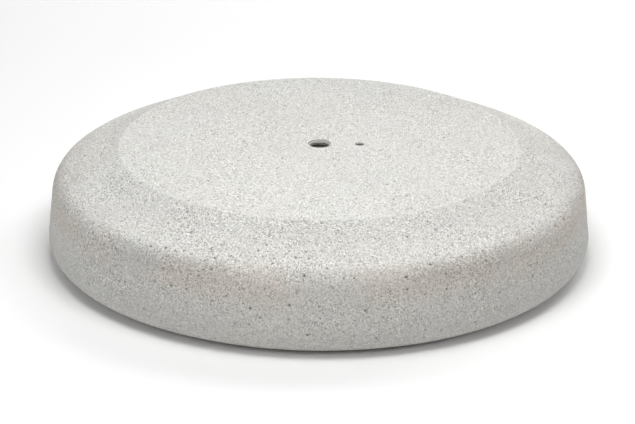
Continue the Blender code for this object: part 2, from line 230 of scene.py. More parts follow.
# The casting ----------------------------------------------------------------------------------------------
def skin_rings(bm):
    """The casting's skin as closed rings from the middle of the top to the middle of the underside."""
    wall_top_radius = FOOT_LINE_RADIUS - WALL_HEIGHT * math.tan(WALL_DRAFT)
    outer = rounded(
        [
            (SKIN_STEP, PLATEAU_Z, 0),
            (PLATEAU_RADIUS, PLATEAU_Z, CREASE_ROUNDING),
            (wall_top_radius, UNDERSIDE_Z + WALL_HEIGHT, SHOULDER_ROUNDING),
            (FOOT_LINE_RADIUS, UNDERSIDE_Z, BASE_ROUNDING),
            (FOOT_LINE_RADIUS - 2 * BASE_ROUNDING, UNDERSIDE_Z, 0),
        ],
        SKIN_STEP,
    )
    last = outer[-1].x
    count = round((last - SKIN_STEP) / UNDERSIDE_STEP)
    under = [Vector((last + (SKIN_STEP - last) * k / count, UNDERSIDE_Z)) for k in range(1, count + 1)]
    return [ring_of(bm, p.x, p.y, segments_at(p.x)) for p in outer + under]


class Pit(NamedTuple):
    """The place and shape of one air hole in the skin: a bowl that is stretched along its lean."""

    centre: Vector
    normal: Vector
    across: Vector
    radius: float
    stretch: float
    lean: float

    def point(self, angle, size, depth):
        """A point at an angle round the bowl, size times its radius from its axis and depth times it below
        its rim."""
        other = self.normal.cross(self.across)
        reach = self.radius * size * (1 + (self.stretch - 1) * math.cos(angle - self.lean) ** 2)
        sideways = (self.across * math.cos(angle) + other * math.sin(angle)) * reach
        return self.centre - self.normal * self.radius * depth + sideways


def open_pits(bm, places, rng, biggest):
    """Air holes: each chosen vertex of the skin gives way to a small uneven bowl, whose floor and bottom are
    painted darker with soiling and painted shade.
    """
    dirt_and_shade = bm.verts.layers.float["dirt_and_shade"]
    bmesh.ops.dissolve_verts(bm, verts=places)
    bm.normal_update()
    holes = [face for face in bm.faces if len(face.verts) >= 7]
    bmesh.ops.inset_individual(bm, faces=holes, thickness=0.0006, depth=0)
    pits = []
    for face in holes:
        centre = face.calc_center_median()
        across = (face.verts[0].co - centre).normalized()
        radius = biggest * (0.3 + 0.7 * rng.random() ** 2.2)
        stretch, lean = 1 + 0.35 * rng.random(), rng.random() * math.pi
        pit = Pit(centre, face.normal.copy(), across, radius, stretch, lean)
        pits.append(pit)
        for k, vert in enumerate(face.verts):
            vert.co = pit.point(math.tau * k / len(face.verts), 1 + 0.22 * (rng.random() - 0.5), 0)
    bmesh.ops.inset_individual(bm, faces=holes, thickness=0.0001, depth=0)
    for face, pit in zip(holes, pits):
        for k, vert in enumerate(face.verts):
            vert.co = pit.point(math.tau * k / len(face.verts), 0.72, 0.8)
            vert[dirt_and_shade] = PIT_FLOOR_DIRT_AND_SHADE
    poked = bmesh.ops.poke(bm, faces=holes)
    for vert, pit in zip(poked["verts"], pits):
        vert.co = pit.point(0, 0, 1.25)
        vert[dirt_and_shade] = PIT_BOTTOM_DIRT_AND_SHADE


def roughen(bm):
    """Moves the skin in and out, but never out past the outline."""
    bm.normal_update()
    moves = []
    for vert in bm.verts:
        wave = 0
        for density, height, shift in SKIN_WAVES:
            wave += noise.noise(vert.co * density + Vector(shift)) * height
        roughness = UNDERSIDE_ROUGHNESS if vert.normal.z < -0.9 else 1.0
        moves.append(vert.normal * min(0, wave * roughness - SKIN_DEPTH))
    for vert, move in zip(bm.verts, moves):
        vert.co += move


def chosen_places(bm, count, rng, wanted):
    """Grid vertices far enough from each other to open a pit at each."""
    free = [v for v in bm.verts if len(v.link_faces) == 4 and wanted(v)]
    rng.shuffle(free)
    taken, chosen = set(), []
    for vert in free:
        around = {v for face in vert.link_faces for v in face.verts}
        if around & taken or any(len(face.verts) != 4 for face in vert.link_faces):
            continue
        taken |= around
        chosen.append(vert)
        if len(chosen) == count:
            break
    return chosen


def swollen(node):
    """A cutter for the pocket that a cast-in piece leaves: the piece grown by the gap."""
    bm = bmesh.new()
    bm.from_mesh(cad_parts[node].data)
    bmesh.ops.remove_doubles(bm, verts=bm.verts, dist=1e-5)
    bmesh.ops.recalc_face_normals(bm, faces=bm.faces)
    bm.normal_update()
    moves = [vert.normal * CAST_GAP * vert.calc_shell_factor() for vert in bm.verts]
    for vert, move in zip(bm.verts, moves):
        vert.co += move
    return object_of(bm, "pocket_" + node)


def turned(profile, count, centre):
    """A closed mesh turned about an upright axis from (radius, height) points that start and end on it."""
    bm = bmesh.new()
    rings = [ring_of(bm, r, z, count) for r, z in profile[1:-1]]
    for lower, upper in zip(rings, rings[1:]):
        bridge(bm, lower, upper)
    for (_, z), ring in ((profile[0], rings[0]), (profile[-1], rings[-1])):
        tip = bm.verts.new((0, 0, z))
        for k in range(count):
            bm.faces.new((ring[k], ring[(k + 1) % count], tip))
    bmesh.ops.translate(bm, vec=centre, verts=bm.verts)
    return bm


def turned_loop(loop, count, centre):
    """A ring-shaped mesh turned about an upright axis from a closed loop of (radius, height) points."""
    bm = bmesh.new()
    rings = [ring_of(bm, r, z, count) for r, z in loop]
    for lower, upper in zip(rings, rings[1:] + rings[:1]):
        bridge(bm, lower, upper)
    bmesh.ops.translate(bm, vec=centre, verts=bm.verts)
    return bm


def eased(loop, ease):
    """A closed loop with each corner cut back by ease, or by a third of a shorter side."""
    made = []
    for k in range(len(loop)):
        corner = Vector(loop[k])
        for other in (Vector(loop[k - 1]), Vector(loop[(k + 1) % len(loop)])):
            side = other - corner
            made.append(tuple(corner + side * min(ease / side.length, 1 / 3)))
    return made


def axis_of(node):
    """The upright axis of a turned CAD node, at z = 0, and its lowest and highest corners."""
    low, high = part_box(node)
    return Vector(((low.x + high.x) / 2, (low.y + high.y) / 2, 0)), low, high


def hole_cutter(node, throat_radius, mouth_radius, worn, seed, rim_darkening, wall_darkening):
    """A cutter for a cast-in sleeve's pocket and for the flared hole above it, whose edge is worn round over
    a width and chipped. rim_darkening and wall_darkening paint the rim and the wall darker, or paler where
    they are below 0; on the socket's rim this darkening is a painted shadow."""
    low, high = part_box(node)
    centre = (low + high) / 2
    pocket = (high.x - low.x) / 2 + CAST_GAP
    roof = high.z + CAST_GAP
    surface = PLATEAU_Z - SKIN_DEPTH
    edge = mouth_radius - worn / 2
    arc = [math.pi / 2 * k / 5 for k in range(6)]
    profile = [(0, low.z - CAST_GAP), (pocket, low.z - CAST_GAP), (pocket, roof), (throat_radius, roof)]
    profile += [((throat_radius + edge) / 2, (roof + surface - worn) / 2)]
    profile += [(edge + worn * (1 - math.cos(a)), surface - worn * (1 - math.sin(a))) for a in arc]
    profile += [(edge + 3 * worn, surface + worn), (0, surface + 2 * worn)]
    bm = turned(profile, 72, (centre.x, centre.y, 0))
    dirt_and_shade = bm.verts.layers.float.new("dirt_and_shade")
    for vert in bm.verts:
        outwards = Vector((vert.co.x - centre.x, vert.co.y - centre.y, 0))
        depth = surface - vert.co.z
        if depth > worn * 1.2:
            vert[dirt_and_shade] = wall_darkening
        elif depth > worn * 0.3:
            vert[dirt_and_shade] = rim_darkening
        if vert.co.z > roof + CAST_GAP and outwards.length > 0:
            chips = noise.noise(vert.co * 380 + Vector((seed, 0, 0))) + 0.6 * noise.noise(vert.co * 1000)
            vert.co += outwards.normalized() * chips * worn * 0.45
    return object_of(bm, "hole_" + node)


def foot_cutter(number):
    """A cutter for a foot's recess in the underside and for its dowel's pocket."""
    pad_low, pad_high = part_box(f"foot_pad_{number}")
    dowel_low, dowel_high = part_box(f"foot_dowel_{number}")
    recess = (pad_high.x - pad_low.x) / 2 + RECESS_GAP
    pocket = (dowel_high.x - dowel_low.x) / 2 + CAST_GAP
    roof = dowel_low.z - CAST_GAP
    top = dowel_high.z + CAST_GAP
    centre = (pad_low + pad_high) / 2
    edge = 0.001
    profile = [(0, -edge), (recess + edge, -edge), (recess + edge, UNDERSIDE_Z)]
    profile += [(recess, UNDERSIDE_Z + edge), (recess, roof), (pocket, roof), (pocket, top), (0, top)]
    return object_of(turned(profile, 48, (centre.x, centre.y, 0)), f"recess_{number}")


def cut_away(piece, cutters):
    """Takes the cutters away from the piece for good."""
    for cutter in cutters:
        boolean = piece.modifiers.new(cutter.name, "BOOLEAN")
        boolean.operation = "DIFFERENCE"
        boolean.solver = "MANIFOLD"
        boolean.object = cutter
    evaluated = piece.evaluated_get(bpy.context.evaluated_depsgraph_get())
    result = bpy.data.meshes.new_from_object(evaluated)
    piece.modifiers.clear()
    piece.data = result
    for cutter in cutters:
        bpy.data.objects.remove(cutter)


def may_open_outside(v):
    """Whether a vertex is on the outside, and clear of the two holes and of the plateau's edge."""
    if v.normal.z < -0.5 or abs(v.co.xy.length - PLATEAU_RADIUS) < CREASE_CLEARANCE:
        return False
    from_locator = abs(v.co.x - LOCATOR_OFFSET) + abs(v.co.y)
    return v.co.xy.length > SOCKET_CLEARANCE and from_locator > LOCATOR_CLEARANCE


def may_open_underneath(v, feet):
    """Whether a vertex is on the underside, and clear of its middle, its edge and the feet."""
    if v.normal.z > -0.9 or not UNDERSIDE_INNER_LIMIT < v.co.xy.length < UNDERSIDE_OUTER_LIMIT:
        return False
    return min((v.co.xy - foot).length for foot in feet) > FOOT_CLEARANCE


def make_casting():
    """The concrete, with a rough skin, air holes and pockets for all that is cast in or screwed on."""
    rng = random.Random(11)
    bm = bmesh.new()
    # The vertices carry soiling and painted shade, and paler cement where the value is below 0
    bm.verts.layers.float.new("dirt_and_shade")
    rings = skin_rings(bm)
    for lower, upper in zip(rings, rings[1:]):
        bridge(bm, lower, upper)
    bm.faces.new(rings[0])
    bm.faces.new(rings[-1])
    bmesh.ops.recalc_face_normals(bm, faces=bm.faces)
    roughen(bm)
    bm.normal_update()
    feet = [axis_of(f"foot_pad_{number}")[0].xy for number in FEET]
    open_pits(bm, chosen_places(bm, OUTSIDE_PITS, rng, may_open_outside), rng, BIGGEST_OUTSIDE_PIT)
    places = chosen_places(bm, UNDERSIDE_PITS, rng, lambda v: may_open_underneath(v, feet))
    open_pits(bm, places, rng, BIGGEST_UNDERSIDE_PIT)
    made = object_of(bm, "cast_concrete")
    cutters = [
        # The socket's hole: a painted shadow on its rim, and its throat's wall painted paler
        hole_cutter("threaded_socket", SOCKET_THROAT_RADIUS, SOCKET_MOUTH_RADIUS, 0.0008, 3, 0.9, -1.0),
        # The locating hole: its rim and its wall painted darker
        hole_cutter("locating_sleeve", LOCATOR_THROAT_RADIUS, LOCATOR_MOUTH_RADIUS, 0.0010, 8, 0.2, 0.5),
    ]
    cutters += [swollen(node) for node in CAST_IN]
    cutters += [foot_cutter(number) for number in FEET]
    cut_away(made, cutters)
    made.data.shade_smooth()
    made.data.set_sharp_from_angle(angle=math.radians(50))
    return made


# The threaded socket --------------------------------------------------------------------------------------
def thread_radius(angle, z, top):
    """The radius of the socket's bore at a height: the thread, its entry chamfer and the plain bore below."""
    turn = ((z - top) / THREAD_PITCH - angle / math.tau) % 1
    rise = min(turn, THREAD_GROOVE - turn) / THREAD_FLANK
    groove = THREAD_MINOR_RADIUS + (THREAD_MAJOR_RADIUS - THREAD_MINOR_RADIUS) * max(0, min(1, rise))
    clear = THREAD_MAJOR_RADIUS + THREAD_CLEARANCE
    chamfer = clear - (top - z)
    below = min(clear, THREAD_MINOR_RADIUS + (top - THREAD_LENGTH - z))
    return max(groove, chamfer, below)


def make_socket():
    """The steel sleeve: real turns of thread inside, and grooves and a knurl outside to grip concrete."""
    centre, low, high = axis_of("threaded_socket")
    outside = high.x - centre.x
    count, edge = 72, 0.0006
    fine = round(THREAD_LENGTH / THREAD_PITCH * ROWS_PER_TURN)
    step = THREAD_LENGTH / fine
    heights = [high.z - step * k for k in range(fine + ROWS_BELOW)]
    heights += [low.z + 0.002, low.z]
    bm = bmesh.new()
    rings = [ring_of(bm, 1, z, count) for z in heights]
    for ring in rings:
        for k, vert in enumerate(ring):
            radius = thread_radius(math.tau * k / count, vert.co.z, high.z)
            vert.co = Vector((vert.co.x * radius, vert.co.y * radius, vert.co.z))
    outline = [(outside - edge, low.z), (outside, low.z + edge)]
    for groove in range(1, SOCKET_GROOVES + 1):
        middle = low.z + (high.z - low.z) * groove / (SOCKET_GROOVES + 1)
        outline += [(outside, middle - 0.0026), (outside - GROOVE_DEPTH, middle - 0.0014)]
        outline += [(outside - GROOVE_DEPTH, middle + 0.0014), (outside, middle + 0.0026)]
    outline += [(outside, high.z - edge), (outside - edge, high.z)]
    knurled = [ring_of(bm, r, z, count) for r, z in outline]
    for ring in knurled[1:-1]:
        for vert in ring[::2]:
            vert.co -= Vector((vert.co.x, vert.co.y, 0)).normalized() * KNURL_DEPTH
    rings += knurled
    for lower, upper in zip(rings, rings[1:] + rings[:1]):
        bridge(bm, lower, upper)
    return object_of(bm, "socket_sleeve", math.radians(32))


def make_locating_cup():
    """The nylon cup in the small hole, with ridges outside to grip the concrete."""
    centre, low, high = axis_of("locating_sleeve")
    outside, bore, floor = high.x - centre.x, LOCATOR_BORE_RADIUS, low.z + LOCATOR_FLOOR
    profile = [(0, low.z), (outside - 0.0006, low.z), (outside, low.z + 0.0010)]
    for ridge in range(1, CUP_RIDGES):
        z = low.z + RIDGE_SPACING * ridge
        profile += [(outside, z), (outside - 0.0005, z + 0.0006)]
        profile += [(outside - 0.0005, z + 0.0014), (outside, z + 0.0020)]
    profile += [(outside, high.z - 0.0004), (outside - 0.0002, high.z), (bore + 0.0003, high.z)]
    profile += [(bore, high.z - 0.0004), (bore - 0.0002, floor + 0.0005), (bore - 0.0007, floor)]
    profile += [(0, floor)]
    return object_of(turned(profile, 40, centre), "locating_cup", math.radians(30))


# The steel in the concrete --------------------------------------------------------------------------------
def rib_height(along, angle):
    """The height of a hot-rolled bar's ribs: slanting crescents on two sides and plain ribs between."""
    phase = (along / RIB_SPACING + angle / math.pi * 0.8) % 1
    crescent = max(0, 1 - abs(phase - 0.5) * 3.4) ** 0.5 * abs(math.sin(angle)) ** 0.6
    plain = max(0, abs(math.cos(angle)) - 0.93) / 0.07 * 0.8
    return RIB_HEIGHT * max(crescent, plain)


def ribbed(name, place, length, closed):
    """A ribbed bar. place gives the centre and two directions across the bar at a length along it."""
    count, step = 16, 0.0012
    stations = round(length / step)
    bm = bmesh.new()
    rings = []
    for n in range(stations if closed else stations + 1):
        along = length * n / stations
        centre, across, other = place(along)
        from_end = 1 if closed else min(n, stations - n)
        core = BAR_RADIUS - RIB_HEIGHT * (2.5 if from_end == 0 else 1)
        ring = []
        for k in range(count):
            angle = math.tau * k / count
            outwards = across * math.cos(angle) + other * math.sin(angle)
            radius = core + (rib_height(along, angle) if from_end else 0)
            ring.append(bm.verts.new(centre + outwards * radius))
        rings.append(ring)
    for lower, upper in zip(rings, rings[1:] + (rings[:1] if closed else [])):
        bridge(bm, lower, upper)
    if not closed:
        bm.faces.new(rings[0])
        bm.faces.new(rings[-1])
    bmesh.ops.recalc_face_normals(bm, faces=bm.faces)
    return object_of(bm, name, math.radians(50))


def make_straight_bar(node):
    """A ribbed bar along X or Y in the place of a plain one."""
    low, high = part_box(node)
    middle, size = (low + high) / 2, high - low
    forward = Vector((1, 0, 0)) if size.x > size.y else Vector((0, 1, 0))
    length = max(size)
    up = Vector((0, 0, 1))
    across = forward.cross(up)

    def place(along):
        return middle + forward * (along - length / 2), across, up

    return ribbed(node + "_ribbed", place, length, False)


def make_ring_bar():
    """The ribbed bar that is bent to a ring."""
    low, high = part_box("rebar_ring")
    radius, z = high.x - BAR_RADIUS, (low.z + high.z) / 2

    def place(along):
        outwards = Vector((math.cos(along / radius), math.sin(along / radius), 0))
        return outwards * radius + Vector((0, 0, z)), outwards, Vector((0, 0, 1))

    return ribbed("rebar_ring_ribbed", place, math.tau * radius, True)


def make_plate():
    """The anchor plate, with broken edges."""
    bm = bmesh.new()
    bm.from_mesh(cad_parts["anchor_plate"].data)
    bmesh.ops.remove_doubles(bm, verts=bm.verts, dist=1e-5)
    bmesh.ops.dissolve_limit(bm, angle_limit=0.01, verts=bm.verts, edges=bm.edges)
    sharp = [edge for edge in bm.edges if edge.calc_face_angle(0) > 1]
    bmesh.ops.bevel(bm, geom=sharp, offset=0.0007, segments=3, profile=0.5, affect="EDGES")
    return object_of(bm, "anchor_plate_cut", math.radians(35))


# The feet -------------------------------------------------------------------------------------------------
def make_pad(number):
    """A moulded rubber foot with three rings of tread, a drafted side and a counterbore for its screw."""
    centre, low, high = axis_of(f"foot_pad_{number}")
    outside = high.x - centre.x
    loop = [(COUNTERBORE_RADIUS, 0)]
    for groove in TREAD_RADII:
        loop += [(groove - 0.0006, 0), (groove - 0.0003, TREAD_DEPTH)]
        loop += [(groove + 0.0003, TREAD_DEPTH), (groove + 0.0006, 0)]
    loop += [(outside - 0.0012, 0), (outside - 0.0003, 0.0005), (outside, 0.0014), (outside, 0.0030)]
    loop += [(outside - 0.0003, 0.0033), (outside - 0.0005, high.z), (SCREW_HOLE_RADIUS, high.z)]
    loop += [(SCREW_HOLE_RADIUS, COUNTERBORE_DEPTH), (COUNTERBORE_RADIUS, COUNTERBORE_DEPTH)]
    pad = turned_loop(eased(loop, 0.00025), 64, centre)
    return object_of(pad, f"foot_rubber_{number}", math.radians(30))


def make_washer(number):
    """A flat washer with rounded edges."""
    centre, low, high = axis_of(f"foot_washer_{number}")
    outside = high.x - centre.x
    loop = [(SCREW_HOLE_RADIUS, low.z), (outside, low.z), (outside, high.z), (SCREW_HOLE_RADIUS, high.z)]
    return object_of(turned_loop(eased(eased(loop, 0.0003), 0.0001), 48, centre), f"washer_{number}")


def make_dowel(number):
    """A nylon wall plug with barbs, closed at its inner end."""
    centre, low, high = axis_of(f"foot_dowel_{number}")
    outside = high.x - centre.x
    profile = [(0, high.z), (outside - 0.0010, high.z), (outside - 0.0004, high.z - 0.0008)]
    for barb in range(DOWEL_BARBS):
        z = high.z - 0.0030 - (high.z - low.z - 0.0070) * barb / DOWEL_BARBS
        profile += [(outside - 0.0005, z), (outside, z - 0.0016), (outside - 0.0006, z - 0.0019)]
    profile += [(outside, low.z + 0.0020), (outside, low.z), (SCREW_HOLE_RADIUS, low.z)]
    profile += [(SCREW_HOLE_RADIUS, high.z - DOWEL_END), (0, high.z - DOWEL_END)]
    return object_of(turned(profile, 32, centre), f"dowel_{number}", math.radians(25))


def screw_ring_radius(angle, z, start, tip):
    """The radius of a wood screw's shank at a height: a plain neck, then the thread, and a point."""
    turn = (z / SCREW_PITCH - angle / math.tau) % 1
    ridge = max(0, 1 - abs(turn - 0.5) * 3.2)
    deep = min(1, max(0, (z - start - 0.004) / 0.002))
    radius = SCREW_RADIUS * (1 - deep * 0.30 * (1 - ridge))
    return radius * min(1, (tip - z) / (2.2 * SCREW_RADIUS) + 0.04)


def make_screw(number):
    """A pan head with a cross recess, below, and a threaded shank that runs up into the dowel."""
    centre, low, high = axis_of(f"foot_screw_{number}")
    head_radius, seat, count = high.x - centre.x, low.z + SCREW_HEAD_HEIGHT, 32
    bm = bmesh.new()
    arc = [math.pi / 2 * k / 8 for k in range(9)]
    rise = SCREW_HEAD_HEIGHT * 0.75
    outline = [(head_radius * (0.45 + 0.55 * math.sin(a)), low.z + rise * (1 - math.cos(a))) for a in arc]
    outline += [(head_radius, seat - 0.0002), (head_radius - 0.0002, seat), (SCREW_RADIUS + 0.0003, seat)]
    rings = [ring_of(bm, r, z, count) for r, z in outline]
    step = SCREW_PITCH / 10
    for n in range(2, int((high.z - seat) / step)):
        ring = ring_of(bm, 1, seat + step * n, count)
        for k, vert in enumerate(ring):
            radius = screw_ring_radius(math.tau * k / count, vert.co.z, seat, high.z)
            vert.co = Vector((vert.co.x * radius, vert.co.y * radius, vert.co.z))
        rings.append(ring)
    for lower, upper in zip(rings, rings[1:]):
        bridge(bm, lower, upper)
    bm.faces.new(rings[0])
    bm.faces.new(rings[-1])
    bmesh.ops.recalc_face_normals(bm, faces=bm.faces)
    bmesh.ops.translate(bm, vec=centre, verts=bm.verts)
    screw = object_of(bm, f"screw_{number}", math.radians(35))
    cut_away(screw, [cross_recess(centre, low.z, number)])
    screw.data.set_sharp_from_angle(angle=math.radians(35))
    return screw


def cross_recess(centre, bottom, number):
    """A cutter of two crossing bars that taper towards their floor."""
    arm, half, depth = 0.0027, 0.00055, SCREW_HEAD_HEIGHT * 0.65
    corner = [(arm, -half), (arm, half), (half, half)]
    loop = [Matrix.Rotation(math.pi / 2 * turn, 2) @ Vector(point) for turn in range(4) for point in corner]
    bm = bmesh.new()
    low = [bm.verts.new((p.x, p.y, bottom - 0.0005)) for p in loop]
    high = [bm.verts.new((p.x * 0.72, p.y * 0.72, bottom + depth)) for p in loop]
    bridge(bm, low, high)
    bm.faces.new(low)
    bm.faces.new(high)
    bmesh.ops.recalc_face_normals(bm, faces=bm.faces)
    bmesh.ops.translate(bm, vec=centre, verts=bm.verts)
    return object_of(bm, f"recess_{number}")


# Materials ------------------------------------------------------------------------------------------------
class Finish:
    """A procedural material under construction. Sizes are in metres, of the features of a pattern."""

    def __init__(self, name, roughness, metallic=0.0):
        self.material = bpy.data.materials.new(name)
        self.material.use_nodes = True
        self.tree = self.material.node_tree
        self.shader = self.tree.nodes["Principled BSDF"]
        self.shader.inputs["Roughness"].default_value = roughness
        self.shader.inputs["Metallic"].default_value = metallic
        self.place = self.tree.nodes.new("ShaderNodeTexCoord").outputs["Object"]

    def feed(self, socket, value):
        """Links a value to an input if it is another node's output, and sets the input to it if not."""
        if isinstance(value, bpy.types.NodeSocket):
            self.tree.links.new(value, socket)
        else:
            socket.default_value = value

    def set(self, node, **inputs):
        """Feeds a node's inputs by name."""
        for name, value in inputs.items():
            self.feed(node.inputs[name.replace("_", " ")], value)
        return node

    def noise(self, size, detail=2.0, roughness=0.5, seed=0.0):
        """Noise from 0 to 1 whose blobs are about as large as size."""
        node = self.tree.nodes.new("ShaderNodeTexNoise")
        node.noise_dimensions = "4D"
        self.set(node, Vector=self.place, W=seed, Scale=0.5 / size, Detail=detail, Roughness=roughness)
        return node.outputs["Fac"]

    def math(self, operation, a, b=0.0, c=0.0):
        node = self.tree.nodes.new("ShaderNodeMath")
        node.operation = operation
        for socket, value in zip(node.inputs, (a, b, c)):
            self.feed(socket, value)
        return node.outputs["Value"]

    def times(self, a, b):
        return self.math("MULTIPLY", a, b)

    def plus(self, level, share, amount):
        """level, and amount added to it where share is 1."""
        return self.math("MULTIPLY_ADD", share, amount, level)

    def span(self, value, low, high, to_low=0.0, to_high=1.0):
        """value mapped smoothly from low..high to to_low..to_high, and held beyond."""
        node = self.tree.nodes.new("ShaderNodeMapRange")
        node.interpolation_type = "SMOOTHSTEP"
        self.set(node, Value=value, From_Min=low, From_Max=high, To_Min=to_low, To_Max=to_high)
        return node.outputs["Result"]

    def specks(self, size, share, reach=0.45, seed=0.0):
        """1 inside scattered specks and 0 outside. Space is divided into cells about size wide. share is the
        part of the cells that hold a speck, and reach is the largest speck's radius in cells."""
        shifted = self.tree.nodes.new("ShaderNodeVectorMath")
        self.tree.links.new(self.place, shifted.inputs[0])
        shifted.inputs[1].default_value = (seed, seed / 3, seed / 7)
        cells = self.tree.nodes.new("ShaderNodeTexVoronoi")
        self.set(cells, Vector=shifted.outputs[0], Scale=1 / size)
        split = self.tree.nodes.new("ShaderNodeSeparateColor")
        self.set(split, Color=cells.outputs["Color"])
        chosen = self.math("LESS_THAN", split.outputs["Red"], share)
        radius = self.plus(reach * 0.4, split.outputs["Green"], reach * 0.6)
        inside = self.span(self.math("DIVIDE", cells.outputs["Distance"], radius), 1.0, 0.6)
        return self.times(inside, chosen)

    def blend(self, share, first, second):
        """first where share is 0, second where it is 1."""
        node = self.tree.nodes.new("ShaderNodeMix")
        node.data_type = "RGBA"
        self.feed(node.inputs[0], share)
        for socket, colour in ((node.inputs[6], first), (node.inputs[7], second)):
            self.feed(socket, colour if isinstance(colour, bpy.types.NodeSocket) else (*colour, 1))
        return node.outputs[2]

    def scaled(self, colour, factor):
        """colour made lighter or darker by a factor from a socket."""
        node = self.tree.nodes.new("ShaderNodeVectorMath")
        node.operation = "SCALE"
        self.tree.links.new(colour, node.inputs[0])
        self.tree.links.new(factor, node.inputs["Scale"])
        return node.outputs[0]

    def painted(self, name):
        """The value that a mesh's vertices carry under a name."""
        node = self.tree.nodes.new("ShaderNodeAttribute")
        node.attribute_name = name
        return node.outputs["Fac"]

    def along(self, axis):
        """The coordinate along X, Y or Z, in metres."""
        node = self.tree.nodes.new("ShaderNodeSeparateXYZ")
        self.tree.links.new(self.place, node.inputs[0])
        return node.outputs[axis]

    def bump(self, height, depth, strength):
        """A relief that is depth metres high where height goes from 0 to 1."""
        node = self.tree.nodes.new("ShaderNodeBump")
        self.set(node, Height=height, Distance=depth, Strength=strength)
        self.tree.links.new(node.outputs["Normal"], self.shader.inputs["Normal"])

    def colour(self, socket):
        self.tree.links.new(socket, self.shader.inputs["Base Color"])


# The concrete's colours
CEMENT = (0.600, 0.596, 0.572)
WARM_CEMENT = (0.606, 0.590, 0.560)
ROSY_TINT = (0.612, 0.572, 0.528)
LIGHT_GRAIN = (0.84, 0.83, 0.80)
DARK_SAND = (0.21, 0.205, 0.19)
DARK_GRAIN = (0.10, 0.097, 0.09)
# The colour of soiling and painted shade in the holes
GRIME_AND_SHADE = (0.13, 0.125, 0.11)
# The paler cement painted on the socket's throat
LIGHTENED_CEMENT = (0.90, 0.89, 0.86)


class Zones:
    """Parts of the casting's outside, each 1 there and fading to 0 at its edges.

    They are the floated top, a painted light that grows from the plateau's edge down the shoulder, the wall,
    its top and its foot, and two bands of painted shade: one just under the shoulder at the left and right,
    and one on the shoulder at its far left and far right.
    """

    def __init__(self, finish):
        height, across = finish.along("Z"), finish.math("ABSOLUTE", finish.along("X"))

        def above(low, high):
            """0 to 1 from one height over the underside to the other."""
            return finish.span(height, UNDERSIDE_Z + low, UNDERSIDE_Z + high)

        self.floated = finish.span(height, PLATEAU_Z - 0.0022, PLATEAU_Z - 0.0009)
        # Painted light: 0 at the plateau's edge, rising to 1 down the shoulder
        self.painted_light_below_crease = finish.span(height, PLATEAU_Z - 0.004, UNDERSIDE_Z + 0.086)
        self.wall = above(0.086, 0.070)
        self.wall_top = finish.times(self.wall, above(0.042, 0.060))
        self.foot = above(0.045, 0.015)
        # Painted shade: the flanks just under the shoulder, and the shoulder's far left and far right
        flanks = finish.times(finish.span(across, 0.060, 0.110), finish.span(across, 0.235, 0.175))
        self.painted_flank_shade = finish.times(flanks, finish.times(above(0.084, 0.077), above(0.060, 0.073)))
        painted_end_shade = finish.times(finish.span(across, 0.222, 0.252), above(0.101, 0.094))
        self.painted_end_shade = finish.times(painted_end_shade, above(0.068, 0.076))


def concrete_tone(finish, zones):
    """Cement in two tones, with a rosy tint in patches on the wall's top."""
    tone = finish.blend(finish.span(finish.noise(0.09, 2.0, seed=1.0), 0.4, 0.65), CEMENT, WARM_CEMENT)
    rosy_patches = finish.span(finish.noise(0.05, 2.0, 0.5, seed=9.0), 0.32, 0.50)
    return finish.blend(finish.times(zones.wall_top, rosy_patches), tone, ROSY_TINT)


def concrete_contrast(finish, zones):
    """How strongly the sand shows: less on the floated top, and least at the foot of the wall."""
    patches = finish.span(finish.noise(0.022, 2.0, 0.6, seed=8.0), 0.36, 0.64, 0.72, 1.12)
    contrast = finish.plus(1.05, zones.floated, -0.15)
    contrast = finish.plus(contrast, zones.wall, -0.12)
    contrast = finish.plus(contrast, zones.foot, -0.32)
    return finish.times(contrast, patches)


def concrete_level(finish, zones):
    """How light the cement is, before its grain, with painted light down the shoulder and painted shade on
    the wall, towards its foot, just under the shoulder at the left and right, and at the shoulder's far left
    and far right.
    """
    mottle = finish.noise(0.045, 3.0, 0.55, seed=2.0)
    level = finish.plus(0.965, finish.math("SUBTRACT", mottle, 0.5), 0.12)
    # Painted light down the shoulder
    level = finish.plus(level, zones.painted_light_below_crease, 0.080)
    # Painted shade: darker on the wall, and darker still towards its foot
    level = finish.plus(level, zones.wall, -0.055)
    level = finish.plus(level, zones.foot, -0.06)
    # Painted shade just under the shoulder at the left and right, and at the shoulder's far left and far
    # right
    level = finish.plus(level, zones.painted_flank_shade, -0.135)
    return finish.plus(level, zones.painted_end_shade, -0.095)


